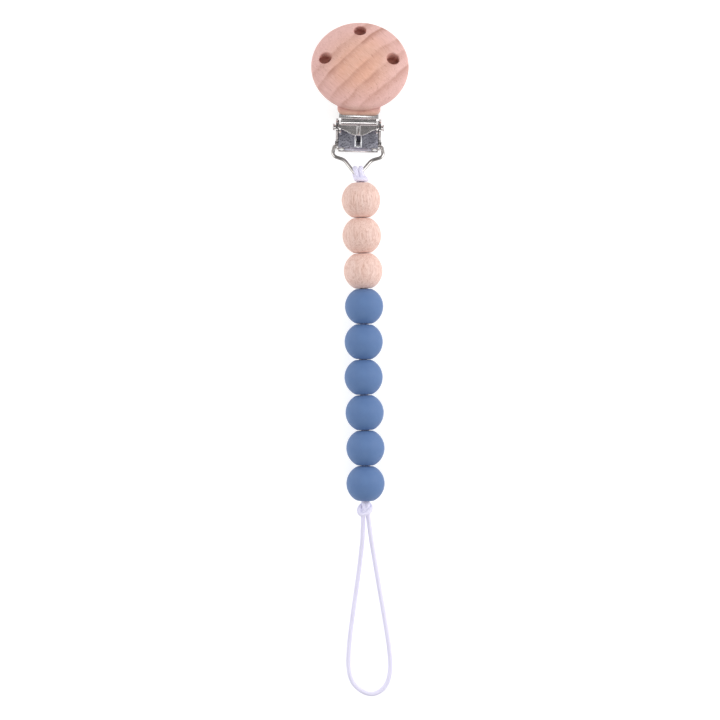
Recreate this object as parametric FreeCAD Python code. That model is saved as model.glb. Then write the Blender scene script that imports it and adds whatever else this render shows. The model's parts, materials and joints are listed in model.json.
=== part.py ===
import FreeCAD, Part
import math
import os

# A soother holder: a wooden disc clip, a wire ring, a beaded cord and a cord loop, lying on its back.
# Millimetres. +X right, +Y along the strand towards the clip, +Z up out of the disc's face.
# The clip's sheet metal is built about X = 0, and its rear jaw lies flat on Z = 0.

Vector = FreeCAD.Vector

# Wooden disc, in its own frame: u along X, v up the disc, w out of its domed face
disc_radius = 19.0
disc_rim_radius = 2.25
disc_dome_radius = 38.3
disc_tilt = 22.0
disc_centre = Vector(0.0, 75.93, 8.67)
disc_tab_half_width = 8.35
disc_tab_end = 20.0
disc_tab_root = 8.4
disc_tab_top = -0.95
disc_tab_corner = 2.6
disc_tab_edge = 0.5
hole_diameter = 5.0
hole_chamfer = 0.35
hole_floor = 1.0
hole_spots = ((-0.3, 14.0), (-13.5, 1.6), (12.7, 1.8))

# Screws into the back of the disc, by their place up the disc
screw_spots = (-11.5, -3.0)
screw_radius = 0.9
screw_length = 5.6
screw_head_radius = 1.7
screw_head_height = 0.6
screw_slot_width = 0.4
screw_slot_depth = 0.25

# Sheet metal
sheet = 0.8
thin_sheet = 0.7
plate_half_width = 7.7

# Lever: (y, z) of the foot of its web, its rolled bead, its flap and the rib down the flap
lever_half_width = 7.65
lever_bend = 1.2
lever_tongue_half_width = 6.4
lever_tongue_end = 6.0
web_foot = (54.75, 10.9)
roll_y = 54.15
roll_z = 11.05
roll_radius = 1.42
roll_half_length = 7.4
flap_path = ((53.6, 11.35), (49.75, 8.75))
flap_edge = ((7.65, 51.7), (5.7, 51.1), (3.7, 50.15), (1.9, 49.35))
rib_path = ((53.2, 10.85), (49.6, 8.4))
rib_radius = 0.95
cheek_outline = (
    (54.75, 10.2), (55.9, 13.3), (54.6, 12.9), (53.0, 12.1), (50.1, 9.6), (50.3, 7.6), (54.2, 7.6),
)
cheek_boss_radius = 2.5
cam_radius = 1.6
cam_drop = 2.7
cheek_room = 0.3

# Base: plate from its rolled front edge to its neck, ears with the pin between them, and feet
base_front_y = 43.1
base_neck_y = 57.0
base_edge_round = 0.55
ear_gap = 0.3
ear_outline = ((47.4, 0.0), (55.6, 0.0), (55.6, 8.6), (54.0, 11.4), (50.6, 11.4), (47.4, 5.6))
ear_corner = 1.5
lug_inner = 7.0
lug_outer = 9.1
lug_front_y = 45.0
hook_gap = 0.05
hook_width = 0.7
almond_x = 6.55
almond_y = 44.0
almond_radius = 1.58
almond_shift = 1.18

# Hinge pin
pin_y = 52.15
pin_z = 9.0
pin_radius = 0.9
pin_running_gap = 0.06
pin_half_length = 10.05
pin_head_radius = 1.35
pin_head_length = 0.7
pin_head_round = 0.4

# Wire ring and its bar, which is the swivel axis
wire_radius = 0.7
wire_gap = 0.08
bar_y = 45.2
bar_z = 2.5
ring_tilt = 22.4
ring_corners = ((9.3, 0.0, 0.85), (10.2, 4.3, 2.3), (5.35, 5.9, 3.8), (1.0, 11.8, 1.3))
knuckle_radius = wire_radius + wire_gap + sheet

# Jaws
jaw_half_width = 6.5
jaw_shoulder_y = 57.0
jaw_tip_y = 77.0
jaw_tip_corner = 3.0
front_jaw_path = ((44.55, 3.62), (50.4, 4.15), (66.0, 4.15), (71.0, 2.75), (77.0, 2.75))
front_jaw_bend = 2.5
curl_half_width = 5.3
pad_bottom = 1.0
pad_length = 6.2
pad_lip = 0.7
lip_rise = 0.2
teeth = 5
first_tooth = 0.4
tooth_pitch = 1.3
tooth_width = 0.9
tooth_height = 0.5

# Raised ridge round the front jaw's slot, and the spring tongue bent down through it onto the base
ridge_path = ((44.65, 4.15), (51.0, 4.7))
ridge_half_width = 1.42
ridge_round = 0.24
slot_half_width = 0.86
slot_front_y = 46.05
slot_back_y = 50.6
recess_front_y = 45.45
recess_floor_z = 3.6
tongue_half_width = 0.68
tongue_path = ((50.9, 4.25), (50.0, 3.9), (47.4, 1.25))
tongue_sheet = 0.5
tongue_bend = 0.8

# Cord
cord_radius = 0.75
strand_offset = 0.79
hitch_half_width = 1.5
hitch_hole_radius = 1.8
hitch_radius = 2.95
stem_radius = 1.55
stem_gap = 0.65

# Bead strand: the necks between the beads follow these headings, in degrees from -Y towards +X
bead_pitch = 13.82
bead_gap = 0.12
first_neck = Vector(1.3, 30.9, 7.55)
bead_headings = (2.3, 3.1, 3.8, 1.9, -0.6, 2.9, 3.1, 2.1, 0.8)
wooden_beads = 3
wooden_bead_radius = 7.55
silicone_bead_radius = 7.45
bead_end_radius = 70.0
bead_bore_radius = 1.7

# Knot and loop
knot_radius = 2.8
knot_offset = 3.0
loop_route = (
    (5.1, -97.6, 6.7),
    (5.4, -106.0, 5.1),
    (4.6, -116.0, 2.4),
    (3.3, -128.0, 1.0),
    (1.9, -139.5, 0.85),
    (0.8, -150.5, 0.8),
    (0.7, -160.3, 0.8),
    (3.2, -166.4, 0.8),
    (9.9, -170.0, 0.8),
    (15.6, -166.9, 0.8),
    (17.6, -159.8, 0.8),
    (16.6, -150.5, 0.8),
    (14.6, -139.5, 0.85),
    (12.2, -127.5, 1.0),
    (9.9, -115.5, 2.4),
    (8.1, -106.0, 5.1),
    (7.0, -97.6, 6.7),
)


def export(name, shape):
    """Write one sub-part and check that it is sound."""
    if not shape.isValid():
        raise ValueError(name + " is not a valid shape")
    for solid in shape.Solids:
        if solid.Volume <= 0:
            raise ValueError(name + " holds an inside-out solid")
    shape.exportStep("parts/" + name + ".step")
    print("%-18s %2d solid(s) %9.2f mm3" % (name, len(shape.Solids), shape.Volume))


def rod(start, end, radius):
    """A round rod between two points."""
    return Part.makeCylinder(radius, (end - start).Length, start, end - start)


def box(x0, x1, y0, y1, z0, z1):
    """A box between two corners."""
    return Part.makeBox(x1 - x0, y1 - y0, z1 - z0, Vector(x0, y0, z0))


def mirrored(shape):
    """The same shape on the other side of the clip."""
    return shape.mirror(Vector(0, 0, 0), Vector(1, 0, 0))


def both_sides(shape):
    """A shape and its mirror image."""
    return [shape, mirrored(shape)]


def arc(start, middle, end):
    """An edge through three points."""
    return Part.Arc(start, middle, end).toShape()


def line(start, end):
    """A straight edge."""
    return Part.LineSegment(start, end).toShape()


def corner_arc(before, corner, after, radius):
    """Tangent points and middle of the arc that rounds one corner of a route."""
    to_before = (before - corner).normalize()
    to_after = (after - corner).normalize()
    half = to_before.getAngle(to_after) / 2
    reach = radius / math.tan(half)
    bisector = (to_before + to_after).normalize()
    centre = corner + bisector * (radius / math.sin(half))
    start = corner + to_before * reach
    end = corner + to_after * reach
    return start, centre - bisector * radius, end


def rounded_wire(points, radii):
    """Straight runs through the points, joined by tangent arcs of the given radii."""
    edges = []
    here = points[0]
    for before, corner, after, radius in zip(points, points[1:], points[2:], radii):
        start, middle, end = corner_arc(before, corner, after, radius)
        edges.append(line(here, start))
        edges.append(arc(start, middle, end))
        here = end
    edges.append(line(here, points[-1]))
    return Part.Wire(edges)


def tube(wire, radius):
    """A round tube swept along a wire."""
    first = wire.OrderedEdges[0]
    start = first.valueAt(first.FirstParameter)
    heading = first.tangentAt(first.FirstParameter)
    ring = Part.Wire(Part.makeCircle(radius, start, heading))
    return wire.makePipeShell([ring], True, True)


def bent_strip(path, thickness, x0, x1, bend):
    """Sheet bent along a (y, z) path of its middle surface, from x0 to x1."""
    points = [Vector(x0, y, z) for y, z in path]
    sides = []
    for side in (1, -1):
        edges = []
        here = None
        for index, point in enumerate(points):
            run = points[min(index + 1, len(points) - 1)] - points[min(index, len(points) - 2)]
            normal = Vector(0, -run.z, run.y).normalize() * (side * thickness / 2)
            if index in (0, len(points) - 1):
                spot = point + normal
                if here is not None:
                    edges.append(line(here, spot))
                here = spot
                continue
            last_run = point - points[index - 1]
            turn_left = last_run.y * run.z - last_run.z * run.y > 0
            inner = turn_left == (side > 0)
            radius = bend - thickness / 2 if inner else bend + thickness / 2
            start, middle, end = corner_arc(points[index - 1], point, points[index + 1], bend)
            towards = (start + end) * 0.5 - point
            centre = middle + towards.normalize() * bend
            spokes = [centre + (spot - centre).normalize() * radius for spot in (start, middle, end)]
            edges.append(line(here, spokes[0]))
            edges.append(arc(*spokes))
            here = spokes[2]
        sides.append((edges, here))
    left, right = sides
    left_start = left[0][0].Vertexes[0].Point
    right_start = right[0][0].Vertexes[0].Point
    caps = [line(left_start, right_start), line(left[1], right[1])]
    outline = Part.Wire(Part.__sortEdges__(left[0] + right[0] + caps))
    return Part.Face(outline).extrude(Vector(x1 - x0, 0, 0))


def disc_point(u, v, w):
    """A point of the disc's own frame in the part's frame."""
    tilt = math.radians(disc_tilt)
    up = Vector(0, math.cos(tilt), -math.sin(tilt))
    out = Vector(0, math.sin(tilt), math.cos(tilt))
    return disc_centre + Vector(u, 0, 0) + up * v + out * w


def on_disc(shape):
    """Carry a shape built in the disc's own frame to its place."""
    turn = FreeCAD.Rotation(Vector(1, 0, 0), -disc_tilt)
    shape.Placement = FreeCAD.Placement(disc_centre, turn)
    return shape


def disc_blank():
    """Turned disc: flat back, full round rim and domed face."""
    rim = disc_radius - disc_rim_radius
    drop = math.sqrt((disc_dome_radius - disc_rim_radius) ** 2 - rim**2)
    share = disc_dome_radius / (disc_dome_radius - disc_rim_radius)
    back = -disc_rim_radius
    meet = Vector(rim * share, 0, drop * share - drop)
    on_rim = math.radians(-20)
    rim_middle = Vector(rim + disc_rim_radius * math.cos(on_rim), 0, disc_rim_radius * math.sin(on_rim))
    apex = Vector(0, 0, disc_dome_radius - drop)
    half_way = math.asin(meet.x / disc_dome_radius) / 2
    dome_middle = Vector(
        disc_dome_radius * math.sin(half_way), 0, disc_dome_radius * math.cos(half_way) - drop
    )
    edges = [
        line(Vector(0, 0, back), Vector(rim, 0, back)),
        arc(Vector(rim, 0, back), rim_middle, meet),
        arc(meet, dome_middle, apex),
        line(apex, Vector(0, 0, back)),
    ]
    return Part.Face(Part.Wire(edges)).revolve(Vector(0, 0, 0), Vector(0, 0, 1), 360)


def wooden_disc(screw_holes):
    """Disc with its fastening tab, three blind holes and the screws' pilot holes."""
    blank = disc_blank()
    tab = box(
        -disc_tab_half_width, disc_tab_half_width,
        -disc_tab_end, -disc_tab_root,
        -disc_rim_radius, disc_tab_top,
    )
    upright = [
        edge for edge in tab.Edges
        if abs(edge.tangentAt(edge.FirstParameter).z) > 0.9 and edge.CenterOfMass.y < 1 - disc_tab_end
    ]
    tab = tab.makeFillet(disc_tab_corner, upright)
    top_rim = [
        edge for edge in tab.Edges
        if edge.CenterOfMass.z > disc_tab_top - 0.01 and edge.CenterOfMass.y < -disc_tab_root - 1
    ]
    tab = tab.makeFillet(disc_tab_edge, top_rim)
    disc = blank.fuse(tab).removeSplitter()
    for u, v in hole_spots:
        foot = Vector(u, v, hole_floor - disc_rim_radius)
        disc = disc.cut(Part.makeCylinder(hole_diameter / 2, 20, foot))
    rims = [
        edge for edge in disc.Edges
        if any(
            abs(math.hypot(vertex.X - u, vertex.Y - v) - hole_diameter / 2) < 0.01
            for vertex in edge.Vertexes for u, v in hole_spots
        )
        and edge.CenterOfMass.z > 0
        and edge.BoundBox.XLength > hole_diameter / 2
    ]
    disc = disc.makeChamfer(hole_chamfer, rims)
    return on_disc(disc).cut(screw_holes)


def disc_screws():
    """Two short screws that hold the lever to the back of the disc."""
    back = -disc_rim_radius - sheet
    screws = []
    face = back - screw_head_height
    for v in screw_spots:
        shank = Part.makeCylinder(screw_radius, screw_length, Vector(0, v, back))
        head = Part.makeCylinder(screw_head_radius, screw_head_height, Vector(0, v, face))
        screw = shank.fuse(head).removeSplitter()
        half_slot = screw_slot_width / 2
        slot = box(-2, 2, v - half_slot, v + half_slot, face - 1, face + screw_slot_depth)
        screws.append(screw.cut(slot))
    return on_disc(Part.makeCompound(screws))


def lever_path():
    """Middle surface of the lever: along the disc's back, then down its web."""
    middle = -disc_rim_radius - sheet / 2
    points = [disc_point(0, v, middle) for v in (lever_tongue_end, -disc_tab_end - sheet / 2)]
    return [(point.y, point.z) for point in points] + [web_foot]


def smile_flap():
    """Flap in front of the pin, whose free edge dips to a flat middle, with a rib down it."""
    flap = bent_strip(flap_path, thin_sheet, -lever_half_width, lever_half_width, 1)
    top = flap_path[0][0] + 1
    (x3, y3), (x2, y2), (x1, y1), (x0, y0) = flap_edge
    edges = [
        line(Vector(-x3, top, 0), Vector(-x3, y3, 0)),
        line(Vector(-x3, y3, 0), Vector(-x2, y2, 0)),
        arc(Vector(-x2, y2, 0), Vector(-x1, y1, 0), Vector(-x0, y0, 0)),
        line(Vector(-x0, y0, 0), Vector(x0, y0, 0)),
        arc(Vector(x0, y0, 0), Vector(x1, y1, 0), Vector(x2, y2, 0)),
        line(Vector(x2, y2, 0), Vector(x3, y3, 0)),
        line(Vector(x3, y3, 0), Vector(x3, top, 0)),
        line(Vector(x3, top, 0), Vector(-x3, top, 0)),
    ]
    outline = Part.Face(Part.Wire(edges)).extrude(Vector(0, 0, 20))
    rib = rod(*[Vector(0, y, z) for y, z in rib_path], rib_radius)
    return flap.common(outline).fuse(rib.common(outline))


def lever_cheek():
    """Side flange of the lever, with the cam lobe that presses the front jaw down."""
    inner = lever_half_width - sheet
    points = [Vector(inner, y, z) for y, z in cheek_outline]
    plate = Part.Face(Part.makePolygon(points + points[:1])).extrude(Vector(sheet, 0, 0))
    along = Vector(1, 0, 0)
    boss = Part.makeCylinder(cheek_boss_radius, sheet, Vector(inner, pin_y, pin_z), along)
    lobe = Part.makeCylinder(cam_radius, sheet, Vector(inner, pin_y, pin_z - cam_drop), along)
    return plate.fuse(boss).fuse(lobe)


def lever_plate(screw_holes):
    """Pressed lever: plate under the disc, web, rolled bead, smile flap and two cam cheeks."""
    plate = bent_strip(lever_path(), sheet, -lever_half_width, lever_half_width, lever_bend)
    shoulder = disc_point(0, screw_spots[0] - screw_head_radius, 0).y
    tip = disc_point(0, lever_tongue_end, 0).y + 2
    for trim in both_sides(box(lever_tongue_half_width, 9, shoulder, tip, 0, 20)):
        plate = plate.cut(trim)
    roll_end = Vector(roll_half_length, roll_y, roll_z)
    roll = rod(Vector(-roll_half_length, roll_y, roll_z), roll_end, roll_radius)
    shape = plate.fuse([roll, smile_flap()] + both_sides(lever_cheek())).removeSplitter()
    bore = rod(Vector(-9, pin_y, pin_z), Vector(9, pin_y, pin_z), pin_radius + pin_running_gap)
    inside = lever_half_width - sheet
    room = rod(Vector(-inside, pin_y, pin_z), Vector(inside, pin_y, pin_z), pin_radius + cheek_room)
    return shape.cut(bore).cut(room).cut(screw_holes)


def hinge_pin():
    """Pin through both ears, headed at each end."""
    pin = rod(Vector(-pin_half_length, pin_y, pin_z), Vector(pin_half_length, pin_y, pin_z), pin_radius)
    head_start = pin_half_length - pin_head_length
    head = rod(Vector(head_start, pin_y, pin_z), Vector(pin_half_length, pin_y, pin_z), pin_head_radius)
    edges = [
        edge for edge in head.Edges
        if edge.BoundBox.XLength < 0.01 and edge.CenterOfMass.x > head_start + 0.1
    ]
    head = head.makeFillet(pin_head_round, edges)
    return pin.fuse(both_sides(head)).removeSplitter()


def ear():
    """Upright side ear of the base, bored for the pin."""
    inner = plate_half_width + ear_gap
    points = [Vector(inner, y, z) for y, z in ear_outline]
    plate = Part.Face(Part.makePolygon(points + points[:1])).extrude(Vector(sheet, 0, 0))
    tops = [
        edge for edge in plate.Edges
        if abs(edge.tangentAt(edge.FirstParameter).x) > 0.9 and edge.CenterOfMass.z > 5
    ]
    plate = plate.makeFillet(ear_corner, tops)
    bore = rod(Vector(inner - 1, pin_y, pin_z), Vector(inner + 2, pin_y, pin_z), pin_radius)
    return plate.cut(bore)


def wire_hook():
    """Curled hook at one lower corner of the base, closed round the wire's bar."""
    x0 = plate_half_width + hook_gap
    x1 = x0 + hook_width
    outer = rod(Vector(x0, bar_y, bar_z), Vector(x1, bar_y, bar_z), knuckle_radius)
    post = box(x0, x1, bar_y, bar_y + knuckle_radius, 0, bar_z)
    inner = rod(Vector(x0 - 1, bar_y, bar_z), Vector(x1 + 1, bar_y, bar_z), wire_radius + wire_gap)
    return outer.fuse(post).cut(inner)


def almond_slot():
    """Pointed oval slot beside the fold, cut through the base."""
    centre = Vector(almond_x, almond_y, -1)
    shift = Vector(0, almond_shift, 0)
    first = Part.makeCylinder(almond_radius, 3, centre + shift)
    return first.common(Part.makeCylinder(almond_radius, 3, centre - shift))


def base_plate():
    """Rear jaw and body of the clip: flat plate, two ears and two wire hooks."""
    body = box(-plate_half_width, plate_half_width, base_front_y, base_neck_y, 0, sheet)
    front = [
        edge for edge in body.Edges
        if edge.CenterOfMass.y < base_front_y + 0.01 and edge.CenterOfMass.z > sheet - 0.01
    ]
    body = body.makeFillet(base_edge_round, front)
    jaw = box(-jaw_half_width, jaw_half_width, base_neck_y - 1, jaw_tip_y, 0, sheet)
    tip_edges = [
        edge for edge in jaw.Edges
        if abs(edge.tangentAt(edge.FirstParameter).z) > 0.9 and edge.CenterOfMass.y > jaw_tip_y - 1
    ]
    jaw = jaw.makeFillet(jaw_tip_corner, tip_edges)
    ear_front_y, ear_back_y = ear_outline[0][0], ear_outline[1][0]
    lugs = both_sides(box(lug_inner, lug_outer, lug_front_y, ear_front_y - 0.1, 0, sheet))
    ear_outer = plate_half_width + ear_gap + sheet
    feet = both_sides(box(lug_inner, ear_outer, ear_front_y, ear_back_y, 0, sheet))
    shape = body.fuse([jaw] + lugs + feet + both_sides(ear()) + both_sides(wire_hook()))
    shape = shape.cut(both_sides(almond_slot()))
    return shape.removeSplitter()


def slot_ridge():
    """Rounded ridge round three sides of the front jaw's slot."""
    ridge = bent_strip(ridge_path, thin_sheet, -ridge_half_width, ridge_half_width, 1)
    ridge = ridge.cut(box(-slot_half_width, slot_half_width, recess_front_y, jaw_shoulder_y, 0, 20))
    tops = [
        edge for edge in ridge.Edges
        if edge.CenterOfMass.z > ridge_path[0][1] + thin_sheet * 0.4
        and edge.BoundBox.ZMax > ridge_path[0][1]
        and edge.CenterOfMass.y < ridge_path[1][0] - 0.5
        and not edge.BoundBox.XLength + edge.BoundBox.YLength < 0.2
    ]
    return ridge.makeFillet(ridge_round, tops)


def front_jaw():
    """Front jaw: curled round the wire's bar, with the spring tongue's slot and its raised edge."""
    wide = bent_strip(front_jaw_path, sheet, -plate_half_width, plate_half_width, front_jaw_bend)
    for trim in both_sides(box(jaw_half_width, 9, jaw_shoulder_y, 90, 0, 20)):
        wide = wide.cut(trim)
    curl_end = Vector(curl_half_width, bar_y, bar_z)
    curl = rod(Vector(-curl_half_width, bar_y, bar_z), curl_end, knuckle_radius)
    shape = wide.fuse([curl, slot_ridge()])
    bore = rod(Vector(-9, bar_y, bar_z), Vector(9, bar_y, bar_z), wire_radius + wire_gap)
    slot = box(-slot_half_width, slot_half_width, slot_front_y, slot_back_y, 2, 6)
    recess = box(-slot_half_width, slot_half_width, recess_front_y, slot_back_y, recess_floor_z, 6)
    shape = shape.cut([bore, slot, recess])
    tongue = bent_strip(tongue_path, tongue_sheet, -tongue_half_width, tongue_half_width, tongue_bend)
    return shape.fuse(tongue).removeSplitter()


def grip_pad():
    """Plastic pad under the front jaw's tip, with teeth across it."""
    top = front_jaw_path[-1][1] - sheet / 2
    start = jaw_tip_y - pad_length
    root = pad_bottom + tooth_height
    pad = box(-jaw_half_width, jaw_half_width, start, jaw_tip_y, root, top)
    end = jaw_tip_y + pad_lip
    lip = box(-jaw_half_width, jaw_half_width, jaw_tip_y, end, pad_bottom + lip_rise, top + sheet)
    rows = []
    for index in range(teeth):
        y = start + first_tooth + index * tooth_pitch
        corners = [
            Vector(-jaw_half_width, y, root),
            Vector(-jaw_half_width, y + tooth_width, root),
            Vector(-jaw_half_width, y + tooth_width / 2, pad_bottom),
        ]
        tooth = Part.Face(Part.makePolygon(corners + corners[:1]))
        rows.append(tooth.extrude(Vector(2 * jaw_half_width, 0, 0)))
    return pad.fuse([lip] + rows).removeSplitter()


def ring_point(x, reach):
    """A point of the wire ring's plane, by how far it is from the bar's axis."""
    tilt = math.radians(ring_tilt)
    return Vector(x, bar_y - reach * math.cos(tilt), bar_z + reach * math.sin(tilt))


def wire_ring():
    """Closed wire ring: a straight bar, rounded shoulders and a blunt point."""
    corners = [ring_point(x, reach) for x, reach, radius in ring_corners]
    last_reach = ring_corners[-1][1]
    points = [ring_point(0, 0)] + corners + [ring_point(0, last_reach)]
    half = tube(rounded_wire(points, [radius for x, reach, radius in ring_corners]), wire_radius)
    return half.fuse(mirrored(half)).removeSplitter()


def neck_points():
    """The points between the beads where the strand can bend."""
    points = [first_neck]
    for heading in bead_headings:
        turn = math.radians(heading)
        points.append(points[-1] + Vector(math.sin(turn), -math.cos(turn), 0) * bead_pitch)
    return points


def bead(start, end, radius):
    """Bead on one link of the strand: a ball with flattened, slightly domed ends and a bore."""
    half = (bead_pitch - bead_gap) / 2
    centre_drop = bead_end_radius - half

    def end_height(r):
        return math.sqrt(bead_end_radius**2 - r**2) - centre_drop

    rim_height = (bead_end_radius**2 - radius**2 - centre_drop**2) / (2 * centre_drop)
    rim = math.sqrt(radius**2 - rim_height**2)
    middle = (rim + bead_bore_radius) / 2
    edges = [
        line(Vector(bead_bore_radius, 0, -end_height(bead_bore_radius)),
             Vector(bead_bore_radius, 0, end_height(bead_bore_radius))),
        arc(Vector(bead_bore_radius, 0, end_height(bead_bore_radius)), Vector(middle, 0, end_height(middle)),
            Vector(rim, 0, end_height(rim))),
        arc(Vector(rim, 0, end_height(rim)), Vector(radius, 0, 0), Vector(rim, 0, -end_height(rim))),
        arc(Vector(rim, 0, -end_height(rim)), Vector(middle, 0, -end_height(middle)),
            Vector(bead_bore_radius, 0, -end_height(bead_bore_radius))),
    ]
    ball = Part.Face(Part.Wire(edges)).revolve(Vector(0, 0, 0), Vector(0, 0, 1), 360)
    turn = FreeCAD.Rotation(Vector(0, 0, 1), end - start)
    ball.Placement = FreeCAD.Placement((start + end) * 0.5, turn)
    return ball


def cord_span(start, end):
    """The two strands of the doubled cord through one bead."""
    along = (end - start).normalize()
    across = Vector(0, 0, 1).cross(along) * strand_offset
    trim = along * (bead_gap / 2)
    return Part.makeCompound([
        rod(start + trim + across, end - trim + across, cord_radius),
        rod(start + trim - across, end - trim - across, cord_radius),
    ])


def cord_hitch(apex, neck):
    """Plain body of the hitch: an eye round the wire and a neck to the first bead."""
    half = Vector(hitch_half_width, 0, 0)
    eye = rod(apex - half, apex + half, hitch_radius)
    along = (neck - apex).normalize()
    stem = rod(apex + along * hitch_hole_radius, neck - along * stem_gap, stem_radius)
    hole = rod(apex - half * 2, apex + half * 2, hitch_hole_radius)
    return eye.fuse(stem).cut(hole).removeSplitter()


def cord_knot(neck, heading, loop):
    """Plain body of the stopper knot under the last bead."""
    centre = neck + heading * knot_offset
    ball = Part.makeSphere(knot_radius, centre)
    return ball.cut(loop)


def loop_tube():
    """The free loop of the cord, from the knot and back to it."""
    points = [Vector(*point) for point in loop_route]
    radii = []
    for before, corner, after in zip(points, points[1:], points[2:]):
        turn = math.pi - (before - corner).getAngle(after - corner)
        shorter = min((before - corner).Length, (after - corner).Length)
        radii.append(0.45 * shorter / math.tan(turn / 2))
    wire = rounded_wire(points, radii)
    loop = tube(wire, cord_radius)
    print("loop radii mm:", " ".join("%.1f" % radius for radius in radii))
    expected = math.pi * cord_radius**2 * wire.Length
    print("loop length %.1f mm, volume %.2f, section x length %.2f" % (wire.Length, loop.Volume, expected))
    return loop


def main():
    os.makedirs("parts", exist_ok=True)
    screws = disc_screws()
    export("wooden_disc", wooden_disc(screws))
    export("disc_screws", screws)
    export("lever_plate", lever_plate(screws))
    export("hinge_pin", hinge_pin())
    export("base_plate", base_plate())
    export("front_jaw", front_jaw())
    export("grip_pad", grip_pad())
    export("wire_ring", wire_ring())

    necks = neck_points()
    apex = ring_point(0, ring_corners[-1][1])
    export("cord_hitch", cord_hitch(apex, necks[0]))
    for number, (start, end) in enumerate(zip(necks, necks[1:]), 1):
        export("cord_span_%d" % number, cord_span(start, end))
        wooden = number <= wooden_beads
        name = "wooden_bead_%d" % number if wooden else "silicone_bead_%d" % (number - wooden_beads)
        export(name, bead(start, end, wooden_bead_radius if wooden else silicone_bead_radius))
    loop = loop_tube()
    last_heading = (necks[-1] - necks[-2]).normalize()
    export("cord_knot", cord_knot(necks[-1], last_heading, loop))
    export("cord_loop", loop)
    print("apex", apex)
    for number, neck in enumerate(necks):
        print("neck", number, neck)


main()
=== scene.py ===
import json
import math

import bpy
import numpy as np
from mathutils import Matrix, Vector


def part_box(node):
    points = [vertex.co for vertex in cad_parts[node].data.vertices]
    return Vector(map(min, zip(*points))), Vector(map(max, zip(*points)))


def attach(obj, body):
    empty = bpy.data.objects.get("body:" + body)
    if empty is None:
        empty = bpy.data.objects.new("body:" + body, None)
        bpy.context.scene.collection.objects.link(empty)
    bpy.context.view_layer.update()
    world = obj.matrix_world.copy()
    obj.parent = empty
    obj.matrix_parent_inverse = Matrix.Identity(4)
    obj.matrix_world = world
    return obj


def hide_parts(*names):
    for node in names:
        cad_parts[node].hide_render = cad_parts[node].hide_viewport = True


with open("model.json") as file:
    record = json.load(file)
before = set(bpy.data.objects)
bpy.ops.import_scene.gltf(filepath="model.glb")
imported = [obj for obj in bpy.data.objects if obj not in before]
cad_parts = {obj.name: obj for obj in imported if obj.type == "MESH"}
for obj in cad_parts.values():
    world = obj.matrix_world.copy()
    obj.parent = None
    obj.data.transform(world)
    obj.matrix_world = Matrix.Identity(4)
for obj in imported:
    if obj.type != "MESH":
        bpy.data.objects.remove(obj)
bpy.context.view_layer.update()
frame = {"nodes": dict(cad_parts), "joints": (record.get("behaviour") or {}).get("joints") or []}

# A soother holder lying on a white table: wooden disc clip, wire ring, nine beads on a doubled cord and
# a cord loop.
# Metres, in the CAD model's frame: +Y along the strand towards the clip, +Z up.

MM = 0.001
UP = Vector((0, 0, 1))
JOINTS = {joint["name"]: joint for joint in frame["joints"]}
BEADS = 9
WOODEN_BEADS = 3
NECKS = [Vector(JOINTS["neck_%d_bend" % number]["pos_m"]) for number in range(BEADS)]
NECKS.append(Vector(JOINTS["cord_loop_bend"]["pos_m"]))
EYE = Vector(JOINTS["cord_eye_swing"]["pos_m"])

# Camera: straight above, a long way off
VIEW_CENTRE = Vector((2.63, -38.36, 7.5)) * MM
VIEW_WIDTH = 280.8 * MM
CAMERA_DISTANCE = 1.2
CAMERA_ROLL = math.radians(1.3)

# Floor: a round table top, a hair below the object
FLOOR_LEVEL = -0.05 * MM
FLOOR_RADII = (0.3, 1.0, 3.0, 8.0)
FLOOR_AROUND = 96

# Disc: its tilt, the slant of its grain and, across the grain in mm, the growth bands' edges and their depth
DISC_TILT = 22.0
DISC_HALF = 19.0
GRAIN_SLANT = 47.0
GROWTH_EDGES = ((-12.5, 0.6), (-6.5, 0.55), (-1.5, 0.5), (6.0, 0.85), (11.5, 0.6))

# Beads, in mm: their bore, the dome of their flattened ends, the gap between two, the rounding of the ball's
# rim and of the bore's mouth, and the silicone's faint parting line. BEAD_SAWN is how each wooden one was cut
# from the log: where its centre lay from the pith, and its turn in degrees
BORE_RADIUS = 1.7
END_RADIUS = 70.0
BEAD_GAP = 0.12
WOODEN_ROUNDING = (0.3, 0.3)
SILICONE_ROUNDING = (0.3, 0.25)
PARTING_HEIGHT = 0.02
PARTING_WIDTH = 0.16
BEAD_AROUND = 144
BEAD_SAWN = (((24, 9, 2), 20.0), ((6, -21, 5), 75.0), ((-18, 14, -3), 10.0))

# Front jaw, in mm, where its painted highlight lies: half widths of the slot and of the raised edge round it,
# and the middle and half length of each along Y
RIDGE_HALF_WIDTH = 1.45
RIDGE_MIDDLE = 47.95
RIDGE_REACH = 3.2
SLOT_HALF_WIDTH = 0.84
SLOT_MIDDLE = 48.2
SLOT_REACH = 2.7

# Clip: the rounds on its sharp edges, and the rolled lip of the lever's flap, as its radius, half of its
# edge in mm, and the flap's slope from its root up to that edge
EDGE_ROUND = 0.12 * MM
FLAP_LIP = 0.24 * MM
FLAP_EDGE = (
    (7.5, 51.72), (7.1, 51.6), (6.1, 51.28), (4.9, 50.78),
    (3.7, 50.15), (2.7, 49.66), (1.7, 49.33), (0.6, 49.3),
)
FLAP_ROOT_Y = 53.6
FLAP_ROOT_Z = 11.35
FLAP_SLOPE = 2.6 / 3.85
FLAP_LIP_LIFT = 0.22
LIP_AROUND = 16

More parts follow.
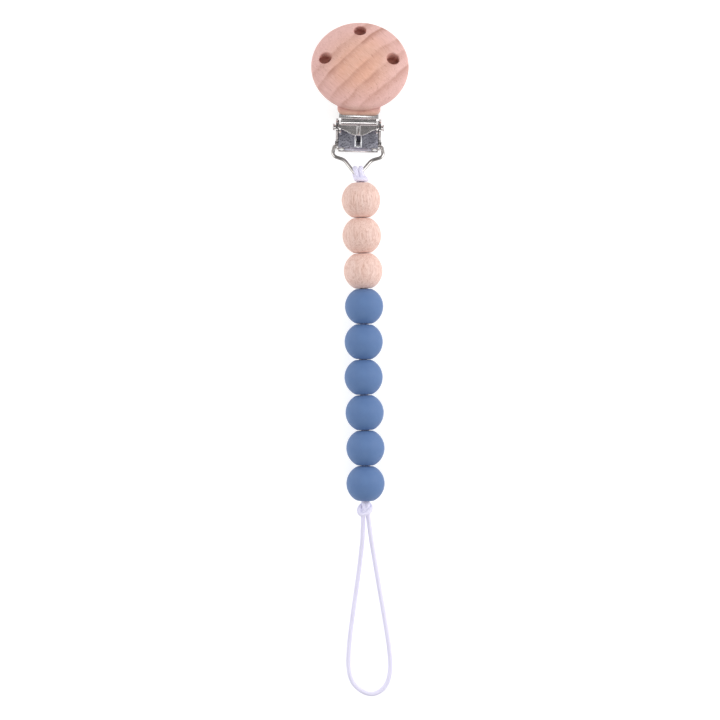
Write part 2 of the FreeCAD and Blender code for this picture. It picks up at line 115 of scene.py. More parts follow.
# Cord: its nominal diameter, its radius as it looks, half the distance between two strands' middles, how far
# each length laps past a neck, and where the strands leave the hitch, from the middle of the wire's point.
# Each of the braid's two families has BRAID_YARNS yarns, which go once round in BRAID_LAY
CORD_RADIUS = 0.84 * MM
STRAND_OFFSET = 0.79 * MM
STRAND_LAP = 0.25 * MM
STRANDS_START_MM = (1.32, -2.2, 0.7)
BRAID_YARNS = 6
BRAID_LAY = 6.3 * MM
BRAID_RELIEF = 0.11
LOOP_SWELL = 1.08
LOOP_ROUTE = (
    (0.0051, -0.0976, 0.0067),
    (0.0054, -0.1060, 0.0051),
    (0.0046, -0.1160, 0.0024),
    (0.0033, -0.1280, 0.0011),
    (0.0019, -0.1395, 0.00095),
    (0.0008, -0.1505, 0.0009),
    (0.0007, -0.1603, 0.0009),
    (0.0032, -0.1664, 0.0009),
    (0.0099, -0.1700, 0.0009),
    (0.0156, -0.1669, 0.0009),
    (0.0176, -0.1598, 0.0009),
    (0.0166, -0.1505, 0.0009),
    (0.0146, -0.1395, 0.00095),
    (0.0122, -0.1275, 0.0011),
    (0.0099, -0.1155, 0.0024),
    (0.0081, -0.1060, 0.0051),
    (0.0070, -0.0976, 0.0067),
)

# Cow hitch on the wire, measured from the middle of the wire's point: one strand up behind the
# cross bar, over the wire, down behind it, and forward again to the bar; then the other side the same
HITCH_ROUTE_MM = (
    (2.10, -2.75, 0.50),
    (2.00, -2.10, 0.85),
    (1.75, -0.95, 1.70),
    (1.30, 0.60, 2.05),
    (1.20, 2.10, 1.20),
    (1.30, 2.35, -0.45),
    (1.60, 1.10, -1.80),
    (2.15, -0.60, -2.00),
    (3.00, -1.90, -1.20),
    (3.50, -2.20, 0.20),
    (3.35, -2.20, 1.70),
    (2.45, -2.20, 2.30),
    (1.25, -2.20, 2.40),
    (0.15, -2.20, 2.15),
    (-0.20, -2.20, 1.50),
    (-0.45, -2.10, 0.00),
    (-0.80, -1.20, -1.35),
    (-1.15, -0.10, -2.00),
    (-1.25, 1.30, -1.70),
    (-1.10, 2.20, -0.40),
    (-0.85, 1.95, 1.10),
    (-0.55, 0.50, 2.05),
    (-0.10, -0.95, 1.75),
    (0.35, -2.10, 0.85),
    (0.50, -2.75, 0.50),
)
HITCH_SWELL = 1.13

# Overhand knot below the last bead, measured from the knot's middle, +y towards the bead. Each strand lies
# KNOT_APART_MM from the route, at KNOT_SHARES of its length
KNOT_BELOW_NECK = 2.95 * MM
KNOT_ROUTE_MM = (
    (0.00, 2.80, 0.00),
    (0.15, 1.90, 0.45),
    (0.30, 0.60, 0.90),
    (0.15, -0.90, 0.65),
    (0.80, -1.75, 0.05),
    (1.75, -0.60, -0.60),
    (1.60, 0.90, -1.20),
    (0.20, 1.65, -1.40),
    (-1.40, 0.60, -0.65),
    (-2.15, -0.95, 0.65),
    (-1.15, -2.05, 1.55),
    (0.50, -1.10, 1.75),
    (1.25, 0.40, 0.75),
    (0.90, 0.15, -0.90),
    (0.30, -1.30, -1.30),
    (0.05, -2.40, -1.15),
)
KNOT_SHARES = (0, 0.15, 0.85, 1)
KNOT_APART_MM = (0.79, 0.62, 0.62, 0.92)
KNOT_PULLED_THIN = 0.98


# ---------------------------------------------------------------- meshes

def mesh_object(name, vertices, faces):
    """A smooth-shaded mesh piece."""
    mesh = bpy.data.meshes.new(name)
    mesh.from_pydata(np.asarray(vertices, float).tolist(), [], faces)
    mesh.shade_smooth()
    piece = bpy.data.objects.new(name, mesh)
    bpy.context.scene.collection.objects.link(piece)
    return piece


def ring_faces(rings, around, closed=False):
    """Quads between rings of points; closed also joins the last ring to the first."""
    faces = []
    for ring in range(rings if closed else rings - 1):
        here = ring * around
        there = (ring + 1) % rings * around
        for side in range(around):
            following = (side + 1) % around
            faces.append((here + side, here + following, there + following, there + side))
    return faces


def follow(route, steps=40):
    """Points along the smooth NURBS line whose control points are the route."""
    data = bpy.data.curves.new("route", "CURVE")
    data.dimensions = "3D"
    data.resolution_u = steps
    spline = data.splines.new("NURBS")
    spline.points.add(len(route) - 1)
    for point, place in zip(spline.points, route):
        point.co = (*place, 1)
    spline.order_u = 3
    spline.use_endpoint_u = True
    bare = bpy.data.objects.new("route", data)
    mesh = bpy.data.meshes.new_from_object(bare)
    points = np.array([vertex.co for vertex in mesh.vertices], float)
    bpy.data.meshes.remove(mesh)
    bpy.data.objects.remove(bare)
    bpy.data.curves.remove(data)
    return points


def distance_along(points):
    """Each point's distance from the line's start."""
    steps = np.linalg.norm(np.diff(points, axis=0), axis=1)
    return np.concatenate([[0], np.cumsum(steps)])


def carried_frame(points, first_side):
    """Tangents and two cross directions that are carried along a line without twisting about it."""
    tangents = np.gradient(points, axis=0)
    tangents /= np.linalg.norm(tangents, axis=1)[:, None]
    sides = []
    side = np.array(first_side, float)
    for tangent in tangents:
        side = side - tangent * side.dot(tangent)
        side /= np.linalg.norm(side)
        sides.append(side)
    sides = np.array(sides)
    return tangents, sides, np.cross(tangents, sides)


def around_line(sides, fronts, angles):
    """Directions out of a line at each angle about it, for every point of the line."""
    cosines = np.cos(angles)[None, :, None]
    sines = np.sin(angles)[None, :, None]
    return sides[:, None, :] * cosines + fronts[:, None, :] * sines


def braid_height(angle, distance):
    """Relief of a round braid of two crossing families of yarns: 0 in the grooves, 1 on the crowns."""
    turn = BRAID_YARNS * angle / 2
    travel = math.pi * BRAID_YARNS * distance / BRAID_LAY
    one = np.cos(turn + travel)
    other = np.cos(turn - travel)
    lift = 0.3 * one * other
    return np.maximum(np.abs(one) + lift, np.abs(other) - lift) / 1.3


def braided_strand(points, radius, first_side=(1, 0, 0), around=36):
    """Vertices, faces and relief of one braided strand with closed ends."""
    distance = distance_along(points)
    tangents, sides, fronts = carried_frame(points, first_side)
    angles = np.linspace(0, 2 * math.pi, around, endpoint=False)
    relief = braid_height(angles[None, :], distance[:, None])
    reach = radius * (1 + BRAID_RELIEF * (relief - 0.7))
    across = around_line(sides, fronts, angles)
    vertices = (points[:, None, :] + across * reach[:, :, None]).reshape(-1, 3)
    faces = ring_faces(len(points), around)
    last_ring = (len(points) - 1) * around
    for ring, tip, order in ((0, len(vertices), -1), (last_ring, len(vertices) + 1, 1)):
        for side in range(around):
            corner = (ring + side, ring + (side + 1) % around, tip)
            faces.append(corner[::order])
    tips = [points[0] - tangents[0] * radius * 0.3, points[-1] + tangents[-1] * radius * 0.3]
    relief = np.concatenate([relief.ravel(), [0.5, 0.5]])
    return np.concatenate([vertices, tips]), faces, relief


def cord_piece(name, strands):
    """One piece made of braided strands, with their relief kept for the material's painted groove shade."""
    vertices = []
    faces = []
    relief = []
    for strand_vertices, strand_faces, strand_relief in strands:
        start = sum(len(part) for part in vertices)
        vertices.append(strand_vertices)
        relief.append(strand_relief)
        faces += [tuple(start + corner for corner in face) for face in strand_faces]
    piece = mesh_object(name, np.concatenate(vertices), faces)
    crown = piece.data.attributes.new("crown", "FLOAT", "POINT")
    crown.data.foreach_set("value", np.concatenate(relief).astype(np.float32))
    piece.data.materials.append(cord_look)
    return piece


# ---------------------------------------------------------------- materials

def add_node(tree, kind, settings=None, **sockets):
    """A shader node with its settings and sockets filled in. A socket's value may be another socket."""
    made = tree.nodes.new(kind)
    for name, value in (settings or {}).items():
        setattr(made, name, value)
    for name, value in sockets.items():
        fill(tree, made.inputs[name.replace("_", " ")], value)
    return made


def fill(tree, socket, value):
    """Link or set one input socket."""
    if isinstance(value, bpy.types.NodeSocket):
        tree.links.new(value, socket)
    else:
        socket.default_value = value


def new_material(name):
    """An empty node material with its shader and output."""
    material = bpy.data.materials.new(name)
    material.use_nodes = True
    tree = material.node_tree
    tree.nodes.clear()
    shader = add_node(tree, "ShaderNodeBsdfPrincipled")
    output = add_node(tree, "ShaderNodeOutputMaterial")
    tree.links.new(shader.outputs["BSDF"], output.inputs["Surface"])
    return material, tree, shader


def place(tree, scale=(1, 1, 1), turn=(0, 0, 0), shift=(0, 0, 0), source=None):
    """The object's own coordinates in millimetres, turned, then stretched."""
    if source is None:
        coordinates = add_node(tree, "ShaderNodeTexCoord").outputs["Object"]
        source = add_node(
            tree, "ShaderNodeMapping", Vector=coordinates, Scale=(1 / MM,) * 3
        ).outputs["Vector"]
    turned = add_node(
        tree, "ShaderNodeMapping", Vector=source,
        Rotation=[math.radians(angle) for angle in turn], Location=shift,
    ).outputs["Vector"]
    return add_node(tree, "ShaderNodeMapping", Vector=turned, Scale=scale).outputs["Vector"]


def noise(tree, where, scale=1.0, detail=2.0, roughness=0.5, distortion=0.0):
    """Noise from 0 to 1 at a place."""
    made = add_node(
        tree, "ShaderNodeTexNoise", Vector=where, Scale=scale, Detail=detail,
        Roughness=roughness, Distortion=distortion,
    )
    return made.outputs["Fac"]


def ramp(tree, factor, *stops, smooth=False):
    """A colour ramp from (position, colour) stops, or from (position, grey) ones."""
    made = add_node(tree, "ShaderNodeValToRGB", Fac=factor)
    made.color_ramp.interpolation = "EASE" if smooth else "LINEAR"
    elements = made.color_ramp.elements
    while len(elements) < len(stops):
        elements.new(0.5)
    for element, (position, colour) in zip(elements, stops):
        element.position = position
        element.color = (*colour, 1) if hasattr(colour, "__len__") else (colour, colour, colour, 1)
    return made.outputs["Color"]


def mix(tree, share, first, second, how="MIX"):
    """Two colours mixed."""
    made = add_node(tree, "ShaderNodeMix", {"data_type": "RGBA", "blend_type": how})
    fill(tree, made.inputs[0], share)
    for socket, colour in ((made.inputs[6], first), (made.inputs[7], second)):
        fill(tree, socket, colour if isinstance(colour, bpy.types.NodeSocket) else (*colour, 1))
    return made.outputs[2]


def bump(tree, height, depth, strength=1.0, after=None):
    """A bump of a real depth, in metres."""
    made = add_node(tree, "ShaderNodeBump", Height=height, Distance=depth, Strength=strength)
    if after is not None:
        tree.links.new(after, made.inputs["Normal"])
    return made.outputs["Normal"]


def srgb(red, green, blue):
    """A colour given as 0-255 screen values, in linear light."""
    return tuple(
        (value / 255 / 12.92) if value <= 10 else ((value / 255 + 0.055) / 1.055) ** 2.4
        for value in (red, green, blue)
    )


def disc_beech():
    """Face-grain beech of the disc: broad slanting growth bands with dark edges, fibres across them, and
    painted light that leaves the face paler and pinker towards the rim.
    """
    material, tree, shader = new_material("beech_disc")
    low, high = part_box("wooden_disc")
    middle = (low + high) / 2 / MM
    centred = place(tree, shift=(-middle.x, -middle.y, -middle.z))
    along = place(tree, turn=(DISC_TILT, 0, 0), source=centred)
    slanted = place(tree, turn=(0, 0, -GRAIN_SLANT), source=along)
    across = add_node(tree, "ShaderNodeSeparateXYZ", Vector=slanted).outputs["Y"]
    drift = noise(tree, place(tree, scale=(0.045, 0.08, 0.05), shift=(4, 1, 2), source=slanted), detail=2.0)
    waved = add_node(tree, "ShaderNodeMath", {"operation": "MULTIPLY_ADD"})
    tree.links.new(drift, waved.inputs[0])
    waved.inputs[1].default_value = 5.0
    tree.links.new(across, waved.inputs[2])
    bands = add_node(
        tree, "ShaderNodeMapRange", Value=waved.outputs[0],
        From_Min=-DISC_HALF + 2.5, From_Max=DISC_HALF + 2.5,
    ).outputs["Result"]
    stops = []
    for edge, depth in GROWTH_EDGES:
        at = (edge + DISC_HALF) / DISC_HALF / 2
        stops += [(at - 0.09, 0.08), (at - 0.014, depth), (at + 0.008, 0.0)]
    shade = ramp(tree, bands, *stops)
    fade = noise(tree, place(tree, scale=(0.11, 0.06, 0.1), shift=(8, 3, 6), source=slanted), detail=2.0)
    shade = mix(tree, ramp(tree, fade, (0.34, 0.6), (0.56, 0.0), smooth=True), shade, (0.10, 0.10, 0.10))
    reach = add_node(tree, "ShaderNodeVectorMath", {"operation": "LENGTH"})
    tree.links.new(place(tree, scale=(1, 1, 0), source=along), reach.inputs[0])
    towards_rim = add_node(
        tree, "ShaderNodeMapRange", Value=reach.outputs["Value"], From_Min=0.0, From_Max=DISC_HALF,
    ).outputs["Result"]
    patches = noise(tree, place(tree, scale=(0.05, 0.09, 0.1), source=slanted), detail=1.5)
    tan = ramp(tree, patches, (0.35, srgb(230, 180, 158)), (0.65, srgb(228, 185, 168)), smooth=True)
    # painted light: the ground colour turns paler and pinker towards the rim, standing in for the light on
    # the disc's domed edge
    painted_rim_light = ramp(tree, towards_rim, (0.3, 0.0), (0.95, 1.0), smooth=True)
    ground = mix(tree, painted_rim_light, tan, srgb(230, 189, 183))
    foot = add_node(tree, "ShaderNodeSeparateXYZ", Vector=along).outputs["Y"]
    footed = add_node(
        tree, "ShaderNodeMapRange", Value=foot, From_Min=-16.5, From_Max=-19.5,
    ).outputs["Result"]
    ground = mix(tree, ramp(tree, footed, (0.0, 0.0), (1.0, 0.85), smooth=True), ground, srgb(206, 168, 148))
    banded = mix(tree, shade, ground, srgb(182, 130, 113))
    fibres = noise(tree, place(tree, scale=(3.2, 0.22, 3.2), source=slanted), detail=4.0, roughness=0.65)
    fibred = mix(
        tree, ramp(tree, fibres, (0.3, 0.6), (0.72, 0.0)), banded,
        mix(tree, 1.0, banded, srgb(224, 206, 200), "MULTIPLY"),
    )
    dashes = noise(tree, place(tree, scale=(2.4, 0.14, 2.4), shift=(7, 3, 1), source=slanted), detail=1.0)
    flecked = mix(tree, ramp(tree, dashes, (0.69, 0.0), (0.76, 0.4)), fibred, srgb(184, 130, 114))
    cracks = noise(tree, place(tree, scale=(1.1, 0.045, 1.1), shift=(2, 6, 3), source=slanted), detail=0.0)
    lined = mix(tree, ramp(tree, cracks, (0.66, 0.0), (0.68, 0.6), (0.70, 0.0)), flecked, srgb(168, 116, 100))
    glints = noise(tree, place(tree, scale=(1.9, 0.5, 1.9), shift=(2, 9, 4), source=slanted), detail=2.0)
    lit = mix(tree, ramp(tree, glints, (0.60, 0.0), (0.74, 0.3)), lined, srgb(236, 204, 190))
    fill(tree, shader.inputs["Base Color"], lit)
    fill(tree, shader.inputs["Roughness"], ramp(tree, fibres, (0.2, 0.62), (0.8, 0.48)))
    shader.inputs["Specular IOR Level"].default_value = 0.3
    rough = bump(tree, fibres, 0.02 * MM, 0.8)
    fill(tree, shader.inputs["Normal"], bump(tree, shade, 0.02 * MM, 0.4, rough))
    return material


def bead_beech(number, shift, turn):
    """Turned beech of one bead: growth rings as nested ovals and fine fibres along the bore."""
    material, tree, shader = new_material("beech_bead_%d" % number)
    sawn = place(tree, turn=(0, 0, turn), shift=shift)
    rings = add_node(
        tree, "ShaderNodeTexWave",
        {"wave_type": "RINGS", "rings_direction": "Z", "wave_profile": "SAW"},
        Vector=place(tree, scale=(1, 1, 0.35), source=sawn), Scale=0.14, Distortion=1.6, Detail=2.0,
        Detail_Scale=0.5, Detail_Roughness=0.5,
    ).outputs["Fac"]
    grown = ramp(
        tree, rings, (0.0, srgb(242, 216, 207)), (0.6, srgb(241, 213, 204)), (0.93, srgb(236, 206, 196)),
        (1.0, srgb(241, 214, 205)),
    )
    fibres = noise(tree, place(tree, scale=(3.4, 3.4, 0.3), source=sawn), detail=4.0, roughness=0.65)
    fibred = mix(
        tree, ramp(tree, fibres, (0.3, 0.6), (0.7, 0.0)), grown,
        mix(tree, 1.0, grown, srgb(222, 202, 194), "MULTIPLY"),
    )
    dashes = noise(tree, place(tree, scale=(3.6, 3.6, 0.75), shift=(5, 2, 8), source=sawn), detail=1.0)
    flecked = mix(tree, ramp(tree, dashes, (0.62, 0.0), (0.70, 0.85)), fibred, srgb(196, 152, 136))
    broad = noise(tree, place(tree, scale=(0.5, 0.5, 0.09), shift=(1, 4, 2), source=sawn), detail=2.0)
    broad_share = ramp(tree, broad, (0.35, 0.35), (0.6, 0.0), smooth=True)
    flecked = mix(tree, broad_share, flecked, srgb(228, 192, 178))
    waves = noise(
        tree, place(tree, scale=(1.3, 1.3, 0.14), shift=(6, 2, 9), source=sawn), detail=3.0, distortion=0.8,
    )
    wave_share = ramp(tree, waves, (0.46, 0.0), (0.50, 0.8), (0.54, 0.0))
    flecked = mix(tree, wave_share, flecked, srgb(198, 152, 134))
    fill(tree, shader.inputs["Base Color"], flecked)
    fill(tree, shader.inputs["Roughness"], ramp(tree, fibres, (0.2, 0.66), (0.8, 0.52)))
    shader.inputs["Specular IOR Level"].default_value = 0.3
    fill(tree, shader.inputs["Normal"], bump(tree, fibres, 0.025 * MM, 0.8))
    return material


def silicone():
    """Matt blue food-grade silicone with a faint powdery bloom."""
    material, tree, shader = new_material("blue_silicone")
    bloom = noise(tree, place(tree, scale=(0.25, 0.25, 0.25)), detail=3.0)
    colour = ramp(tree, bloom, (0.25, srgb(88, 117, 163)), (0.75, srgb(95, 124, 169)))
    dust = noise(tree, place(tree, scale=(1.6, 1.6, 1.6), shift=(3, 1, 5)), detail=5.0, roughness=0.7)
    dusty = mix(tree, ramp(tree, dust, (0.66, 0.0), (0.82, 0.14)), colour, srgb(138, 161, 198))
    fill(tree, shader.inputs["Base Color"], dusty)
    fill(tree, shader.inputs["Roughness"], ramp(tree, dust, (0.3, 0.5), (0.7, 0.62)))
    shader.inputs["Specular IOR Level"].default_value = 0.3
    shader.inputs["Sheen Weight"].default_value = 0.05
    shader.inputs["Sheen Roughness"].default_value = 0.4
    grain = noise(tree, place(tree, scale=(9, 9, 9)), detail=3.0)
    fill(tree, shader.inputs["Normal"], bump(tree, grain, 0.006 * MM, 0.6))
    return material


def cord_fabric():
    """White polyester braid, with painted shade: brighter crowns and darker lilac-grey grooves, and fine
    filaments along the yarns.
    """
    material, tree, shader = new_material("white_cord")
    crown = add_node(tree, "ShaderNodeAttribute", {"attribute_name": "crown"}).outputs["Fac"]
    # painted shade: the colour darkens from the braid's crowns down into its grooves, where the braid shades
    # itself
    colour = ramp(
        tree, crown, (0.45, srgb(206, 202, 230)), (0.72, srgb(229, 226, 245)), (1.0, srgb(244, 242, 253)),
    )
    filaments = noise(tree, place(tree, scale=(7, 7, 7)), detail=4.0, roughness=0.7)
    threaded = mix(tree, ramp(tree, filaments, (0.35, 0.35), (0.65, 0.0)), colour, srgb(226, 221, 240))
    fill(tree, shader.inputs["Base Color"], threaded)
    fill(tree, shader.inputs["Roughness"], ramp(tree, filaments, (0.3, 0.75), (0.7, 0.6)))
    shader.inputs["Specular IOR Level"].default_value = 0.2
    fill(tree, shader.inputs["Normal"], bump(tree, filaments, 0.02 * MM, 0.7))
    return material


def within(tree, coordinate, middle, reach):
    """1 where a coordinate is no further than reach from the middle, in mm, and 0 elsewhere."""
    compare = add_node(tree, "ShaderNodeMath", {"operation": "COMPARE"})
    tree.links.new(coordinate, compare.inputs[0])
    compare.inputs[1].default_value = middle
    compare.inputs[2].default_value = reach
    return compare.outputs[0]


def ridge_painted_highlight(tree, colour, ridge_highlight):
    """Painted highlight: brighter metal colour on the raised edge round the front jaw's slot, standing in for
    the light that edge catches; the slot inside keeps the plain colour.
    """
    place_on_jaw = add_node(tree, "ShaderNodeSeparateXYZ", Vector=place(tree)).outputs
    ridge = mix(tree, within(tree, place_on_jaw["X"], 0, RIDGE_HALF_WIDTH), (0, 0, 0), (1, 1, 1))
    ridge = mix(tree, within(tree, place_on_jaw["Y"], RIDGE_MIDDLE, RIDGE_REACH), (0, 0, 0), ridge)
    slot = mix(tree, within(tree, place_on_jaw["X"], 0, SLOT_HALF_WIDTH), (0, 0, 0), (1, 1, 1))
    slot = mix(tree, within(tree, place_on_jaw["Y"], SLOT_MIDDLE, SLOT_REACH), (0, 0, 0), slot)
    return mix(tree, mix(tree, slot, ridge, (0, 0, 0)), colour, ridge_highlight)


def nickel(name, light, dark, finish, rolling=(0.12, 5.0, 5.0), mottle=0.22, ridge_highlight=None):
    """Nickel-plated steel: rolling lines, cloudy plating and a few fine scratches, and, when given, a painted
    highlight on the front jaw's raised edge.
    """
    material, tree, shader = new_material(name)
    clouds = noise(tree, place(tree, scale=(0.35, 0.35, 0.35)), detail=3.0)
    lines = noise(tree, place(tree, scale=rolling), detail=4.0, roughness=0.6)
    scratches = noise(tree, place(tree, turn=(0, 0, 34), scale=(0.2, 6, 6), shift=(4, 7, 2)), detail=1.0)
    plated = ramp(tree, clouds, (0.3, dark), (0.7, light))
    lined = mix(tree, ramp(tree, lines, (0.35, mottle), (0.6, 0.0)), plated, dark)
    # painted highlight on the raised edge round the jaw's slot
    if ridge_highlight:
        lined = ridge_painted_highlight(tree, lined, ridge_highlight)
    fill(tree, shader.inputs["Base Color"], lined)
    shader.inputs["Metallic"].default_value = 1.0
    soft, sharp = finish
    polish = mix(
        tree, ramp(tree, scratches, (0.68, 0.0), (0.74, 0.6)),
        ramp(tree, lines, (0.3, sharp), (0.7, soft)), (soft + 0.12,) * 3,
    )
    fill(tree, shader.inputs["Roughness"], polish)
    brushed = bump(tree, lines, 0.004 * MM, 0.7)
    fill(tree, shader.inputs["Normal"], bump(tree, clouds, 0.02 * MM, 0.35, brushed))
    return material


def pad_plastic():
    """Milky plastic of the tooth pad."""
    material, tree, shader = new_material("pad_plastic")
    flow = noise(tree, place(tree, scale=(0.6, 0.2, 0.6)), detail=3.0)
    milky = ramp(tree, flow, (0.3, srgb(214, 214, 210)), (0.7, srgb(232, 232, 228)))
    fill(tree, shader.inputs["Base Color"], milky)
    fill(tree, shader.inputs["Roughness"], ramp(tree, flow, (0.3, 0.34), (0.7, 0.48)))
    fill(tree, shader.inputs["Normal"], bump(tree, flow, 0.01 * MM, 0.5))
    return material


cord_look = cord_fabric()


# ---------------------------------------------------------------- stage

def place_camera():
    """The camera, and the picture's tone left as it is."""
    data = bpy.data.cameras.new("camera")
    data.lens = data.sensor_width * CAMERA_DISTANCE / VIEW_WIDTH
    data.clip_start = 0.05
    camera = bpy.data.objects.new("camera", data)
    camera.location = VIEW_CENTRE + UP * CAMERA_DISTANCE
    camera.rotation_euler = (0, 0, CAMERA_ROLL)
    bpy.context.scene.collection.objects.link(camera)
    bpy.context.scene.camera = camera
    bpy.context.scene.view_settings.view_transform = "Standard"


def softbox(name, azimuth, elevation, size, power, distance=0.9):
    """A soft area light aimed at the middle of the object. Azimuth 0 stands at -Y, and 90 at +X."""
    data = bpy.data.lights.new(name, "AREA")
    data.shape = "DISK"
    data.size = size
    data.energy = power
    light = bpy.data.objects.new(name, data)
    turn = math.radians(azimuth)
    rise = math.radians(elevation)
    out = Vector((math.sin(turn) * math.cos(rise), -math.cos(turn) * math.cos(rise), math.sin(rise)))
    light.location = VIEW_CENTRE + out * distance
    light.rotation_euler = out.to_track_quat("Z", "Y").to_euler()
    light.visible_camera = False
    bpy.context.scene.collection.objects.link(light)


def light_world():
    """A bright studio tent that is dark overhead and dim towards -Y."""
    world = bpy.data.worlds.new("studio")
    world.use_nodes = True
    tree = world.node_tree
    tree.nodes.clear()
    direction = add_node(tree, "ShaderNodeTexCoord").outputs["Generated"]
    height = add_node(tree, "ShaderNodeSeparateXYZ", Vector=direction).outputs["Z"]
    glow = ramp(tree, height, (0.0, 1.0), (0.72, 0.95), (0.86, 0.30), (0.97, 0.12))
    depth = add_node(tree, "ShaderNodeSeparateXYZ", Vector=direction).outputs["Y"]
    dimmed = ramp(tree, add_node(
        tree, "ShaderNodeMapRange", Value=depth, From_Min=-1.0, From_Max=0.0,
    ).outputs["Result"], (0.05, 0.25), (0.6, 1.0), smooth=True)
    background = add_node(
        tree, "ShaderNodeBackground", Color=mix(tree, 1.0, glow, dimmed, "MULTIPLY"), Strength=0.80,
    )
    output = add_node(tree, "ShaderNodeOutputWorld")
    tree.links.new(background.outputs["Background"], output.inputs["Surface"])
    bpy.context.scene.world = world


def lay_floor():
    """A white table top, faintly lit from inside so that it stays white under the strand."""
    angles = np.linspace(0, 2 * math.pi, FLOOR_AROUND, endpoint=False)
    level = np.full(FLOOR_AROUND, FLOOR_LEVEL)
    rings = [
        np.stack([radius * np.cos(angles), radius * np.sin(angles), level], axis=1) for radius in FLOOR_RADII
    ]
    vertices = np.concatenate(rings)
    faces = ring_faces(len(FLOOR_RADII), FLOOR_AROUND) + [tuple(range(FLOOR_AROUND - 1, -1, -1))]
    floor = mesh_object("floor", vertices, faces)
    material, tree, shader = new_material("table")
    patches = noise(tree, place(tree, scale=(0.02, 0.02, 0.02)))
    fill(tree, shader.inputs["Base Color"], ramp(tree, patches, (0.3, 0.46), (0.7, 0.48)))
    shader.inputs["Roughness"].default_value = 0.9
    shader.inputs["Specular IOR Level"].default_value = 0.1
    shader.inputs["Emission Color"].default_value = (1, 1, 1, 1)
    shader.inputs["Emission Strength"].default_value = 0.70
    floor.data.materials.append(material)


place_camera()


# ---------------------------------------------------------------- cords

def free_loop():
    """The loop that ties to a soother, out of the knot and back into it."""
    line = follow(LOOP_ROUTE, steps=64)
    loop = cord_piece("loop_cord", [braided_strand(line, CORD_RADIUS * LOOP_SWELL, (0, 0, 1))])
    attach(loop, "cord_end")
    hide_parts("cord_loop")
    return loop, line


def stopper_knot():
    """Overhand knot tied in both strands together."""
    middle = NECKS[-1] + (NECKS[-1] - NECKS[-2]).normalized() * KNOT_BELOW_NECK
    line = follow([Vector(point) * MM for point in KNOT_ROUTE_MM], steps=24)
    distance = distance_along(line)
    share = distance / distance[-1]
    sides, fronts = carried_frame(line, (1, 0, 0))[1:]
    end_angle = math.atan2(fronts[-1][0], sides[-1][0])
    angle = (share * end_angle)[:, None]
    apart = (np.interp(share, KNOT_SHARES, KNOT_APART_MM) * MM)[:, None]
    beside = (sides * np.cos(angle) + fronts * np.sin(angle)) * apart
    strands = [
        braided_strand(line + np.array(middle) + beside * hand, CORD_RADIUS * KNOT_PULLED_THIN)
        for hand in (1, -1)
    ]
    knot = cord_piece("knot_cord", strands)
    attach(knot, "cord_end")
    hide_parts("cord_knot")
    return knot


def wire_hitch():
    """Cow hitch round the wire's point."""
    line = follow([EYE + Vector(point) * MM for point in HITCH_ROUTE_MM], steps=24)
    hitch = cord_piece("hitch_cord", [braided_strand(line, CORD_RADIUS * HITCH_SWELL)])
    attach(hitch, "cord_eye")
    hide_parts("cord_hitch")


def strands_between(number):
    """The doubled cord from one neck to the next, through a bead; number 0 comes from the hitch."""
    top = NECKS[number - 1] if number else EYE + Vector(STRANDS_START_MM) * MM
    foot = NECKS[number]
    along = (foot - top).normalized()
    across = UP.cross(along).normalized() * STRAND_OFFSET
    ends = top - along * STRAND_LAP, foot + along * STRAND_LAP
    strands = []
    for hand in (1, -1):
        route = [ends[0] + across * hand, (top + foot) / 2 + across * hand, ends[1] + across * hand]
        strands.append(braided_strand(follow(route, steps=48), CORD_RADIUS))
    piece = cord_piece("strand_cord_%d" % number, strands)
    if number:
        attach(piece, "link_%d" % number)
        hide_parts("cord_span_%d" % number)
    else:
        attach(piece, "cord_eye")


loop, loop_line = free_loop()
knot = stopper_knot()
wire_hitch()
for number in range(BEADS + 1):
    strands_between(number)


# ---------------------------------------------------------------- beads

def soft_lesser(first, second, blend):
    """The lesser of two values, rounded over where they are within the blend of each other."""
    near = np.maximum(blend - np.abs(first - second), 0) / blend
    return np.minimum(first, second) - near**2 * blend / 4


def bead_outline(radius, half, rim, lip):
    """Upper half of a bead's outline as (distance from the bore's axis, height), mouth first, in mm."""
    mouth = math.atan2(BORE_RADIUS + 0.001, half)
    angles = np.concatenate([
        np.linspace(mouth, mouth + 0.06, 8, endpoint=False),
        np.linspace(mouth + 0.06, math.radians(50), 22, endpoint=False),
        np.linspace(math.radians(50), math.radians(90), 15),
    ])
    drop = (END_RADIUS - half) * np.cos(angles)
    to_end = np.sqrt(drop**2 - (END_RADIUS - half) ** 2 + END_RADIUS**2) - drop
    reach = soft_lesser(to_end, np.full_like(angles, radius), rim)
    across = reach * np.sin(angles)
    height = reach * np.cos(angles)
    inside = np.clip(1 - (across - BORE_RADIUS) / lip, 0, 1)
    height -= lip * (1 - np.sqrt(1 - inside**2))
    return across, height


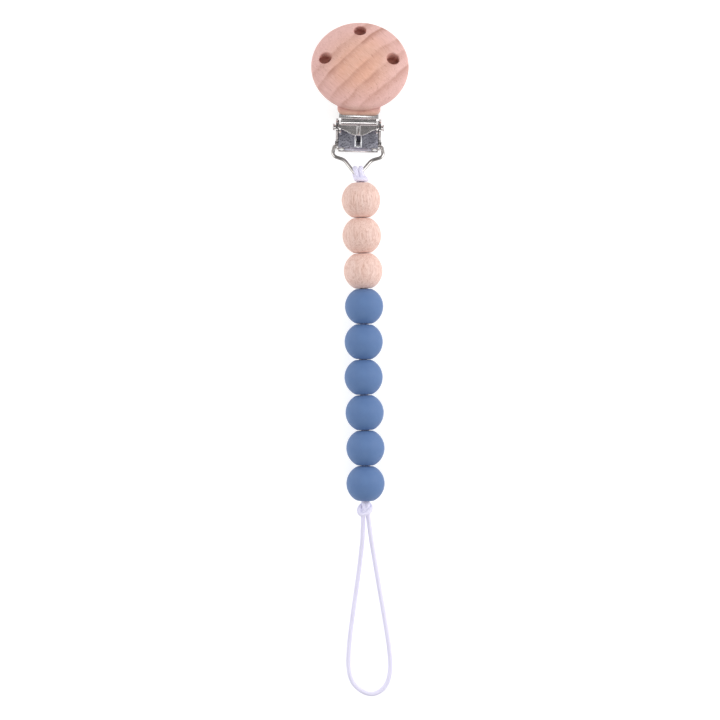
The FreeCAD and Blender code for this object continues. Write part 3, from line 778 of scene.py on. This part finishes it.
def bead(number):
    """One bead, turned or moulded to a ball with flattened ends and a bore."""
    wooden = number <= WOODEN_BEADS
    node = "wooden_bead_%d" % number if wooden else "silicone_bead_%d" % (number - WOODEN_BEADS)
    low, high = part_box(node)
    radius = (high.z - low.z) / 2 / MM
    spin = JOINTS["spin_bead_%d" % number]
    along = Vector(spin["axis"]).normalized()
    half = (NECKS[number] - NECKS[number - 1]).length / MM / 2 - BEAD_GAP / 2
    across, height = bead_outline(radius, half, *(WOODEN_ROUNDING if wooden else SILICONE_ROUNDING))
    if not wooden:
        across = across + PARTING_HEIGHT * np.exp(-((height / PARTING_WIDTH) ** 2))
    across = np.concatenate([across, across[-2::-1], np.full(6, BORE_RADIUS)])
    height = np.concatenate([height, -height[-2::-1], np.linspace(-0.8, 0.8, 6) * height[0]])
    angles = np.linspace(0, 2 * math.pi, BEAD_AROUND, endpoint=False)
    wobble = 0 * angles
    if wooden:
        wobble = 0.0015 * np.sin(2 * angles + number) + 0.001 * np.sin(3 * angles + 2 * number)
    reach = across[:, None] * (1 - 0.0025 * wooden + wobble[None, :])
    vertices = np.stack([
        reach * np.cos(angles), reach * np.sin(angles), np.repeat(height[:, None], BEAD_AROUND, axis=1),
    ], axis=2).reshape(-1, 3) * MM
    faces = ring_faces(len(across), BEAD_AROUND, closed=True)
    piece = mesh_object(node.replace("bead", "ball"), vertices, faces)
    side = UP.cross(along).normalized()
    piece.matrix_world = Matrix((side, along.cross(side), along)).transposed().to_4x4()
    piece.matrix_world.translation = Vector(spin["pos_m"])
    if wooden:
        piece.data.materials.append(bead_beech(number, *BEAD_SAWN[number - 1]))
    else:
        piece.data.materials.append(silicone_look)
    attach(piece, "bead_%d" % number)
    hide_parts(node)


silicone_look = silicone()
for number in range(1, BEADS + 1):
    bead(number)


# ---------------------------------------------------------------- clip

def ease_edges(node):
    """Small rounds on a CAD part's sharp edges, which catch the light."""
    piece = frame["nodes"][node]
    weld = piece.modifiers.new("weld", "WELD")
    weld.merge_threshold = 0.001 * MM
    edges = piece.modifiers.new("edges", "BEVEL")
    edges.width = EDGE_ROUND
    edges.segments = 2
    edges.limit_method = "ANGLE"
    edges.angle_limit = math.radians(35)
    edges.harden_normals = True


def dress(node, material):
    """Give a CAD part its finish."""
    piece = frame["nodes"][node]
    piece.data.materials.clear()
    piece.data.materials.append(material)


def flap_lip():
    """Rolled lip along the free edge of the lever's flap."""
    outline = [(-x, y) for x, y in FLAP_EDGE] + [(x, y) for x, y in reversed(FLAP_EDGE)]
    route = [
        Vector((x, y, FLAP_ROOT_Z + (y - FLAP_ROOT_Y) * FLAP_SLOPE + FLAP_LIP_LIFT)) * MM for x, y in outline
    ]
    points = follow(route, steps=12)
    sides, fronts = carried_frame(points, (0, 0, 1))[1:]
    angles = np.linspace(0, 2 * math.pi, LIP_AROUND, endpoint=False)
    vertices = (points[:, None, :] + around_line(sides, fronts, angles) * FLAP_LIP).reshape(-1, 3)
    last = (len(points) - 1) * LIP_AROUND
    caps = [tuple(range(LIP_AROUND - 1, -1, -1)), tuple(range(last, last + LIP_AROUND))]
    lip = mesh_object("flap_lip", vertices, ring_faces(len(points), LIP_AROUND) + caps)
    lip.data.materials.append(bright_nickel)
    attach(lip, "clip_lever")


bright_nickel = nickel("bright_nickel", (0.70, 0.67, 0.67), (0.50, 0.475, 0.475), (0.30, 0.20))
# the front jaw's metal, with a painted highlight on the raised edge round its slot
dull_nickel = nickel(
    "dull_nickel", (0.64, 0.635, 0.72), (0.27, 0.265, 0.33), (0.46, 0.22), (1.5, 1.7, 1.6),
    mottle=0.75, ridge_highlight=(0.86, 0.86, 0.88),
)
wire_nickel = nickel("wire_nickel", (0.56, 0.54, 0.52), (0.38, 0.36, 0.35), (0.26, 0.16), (2.0, 2.0, 2.0))
for node, material in (
    ("wooden_disc", disc_beech()), ("disc_screws", bright_nickel), ("lever_plate", bright_nickel),
    ("base_plate", bright_nickel), ("hinge_pin", bright_nickel), ("front_jaw", dull_nickel),
    ("wire_ring", wire_nickel), ("grip_pad", pad_plastic()),
):
    dress(node, material)
flap_lip()
for node in ("lever_plate", "base_plate", "front_jaw", "disc_screws", "grip_pad"):
    ease_edges(node)


# ---------------------------------------------------------------- light and floor

light_world()
softbox("key", 110, 30, 0.7, 4.6)
softbox("fill", 255, 32, 0.8, 2.6)
softbox("front_fill", 0, 62, 0.5, 1.7)
lay_floor()
